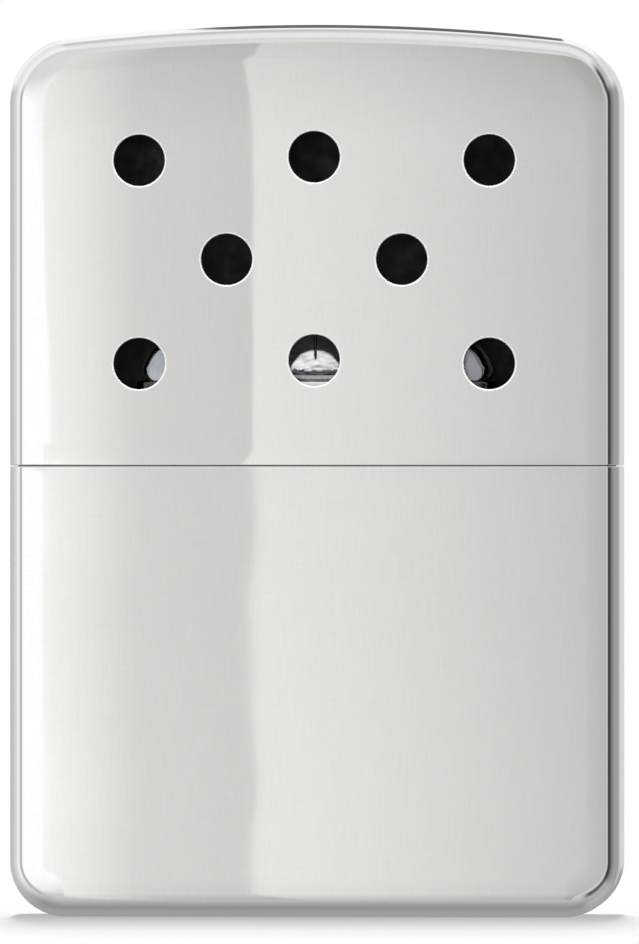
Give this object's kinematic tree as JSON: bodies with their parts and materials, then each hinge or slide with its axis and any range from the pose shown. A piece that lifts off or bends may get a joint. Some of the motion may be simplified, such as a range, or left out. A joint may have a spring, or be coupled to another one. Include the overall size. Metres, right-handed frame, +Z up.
{
  "type": "catalytic hand warmer",
  "caption": "Flat rounded metal case: a vented lift-off cover over a fuel tank that carries a plug-on catalytic burner.",
  "frame": {"origin": "centre of the flat base, at the foot of the tank", "axes": "+X along the width, -Y towards the vented front, +Z up towards the cover's crown"},
  "size_m": [0.0508, 0.0126, 0.0742],
  "materials": {
    "polished_case": "mirror polished, with a very faint upright grain",
    "plated_sheet": "bright plated sheet",
    "burner_sheet": "satin stamped sheet",
    "core_steel": "dull perforated sheet",
    "wire_steel": "heat-darkened wire",
    "felt": "pressed felt",
    "cotton": "loose cotton wadding",
    "catalyst_fibre": "coated glass-fibre mat"
  },
  "bodies": {
    "tank": {"tank_shell": "polished_case", "tank_collar": "plated_sheet", "filler_neck": "plated_sheet", "wick_felt": "felt", "wadding_lower_left": "cotton", "wadding_lower_right": "cotton", "wadding_upper_left": "cotton", "wadding_upper_right": "cotton"},
    "cover": {"cover_shell": "polished_case"},
    "burner": {"burner_base": "plated_sheet", "burner_front_shell": "burner_sheet", "burner_rear_shell": "burner_sheet", "catalyst_mat": "catalyst_fibre", "mat_core_mesh": "core_steel", "front_mat_wire": "wire_steel", "rear_mat_wire": "wire_steel"}
  },
  "joints": [
    {"name": "cover_slide", "type": "slide", "parent": "tank", "child": "cover", "axis": [0, 0, 1], "range_m": [0, 0.045]},
    {"name": "burner_lift", "type": "slide", "parent": "tank", "child": "burner", "axis": [0, 0, 1], "range_m": [0, 0.012]}
  ]
}
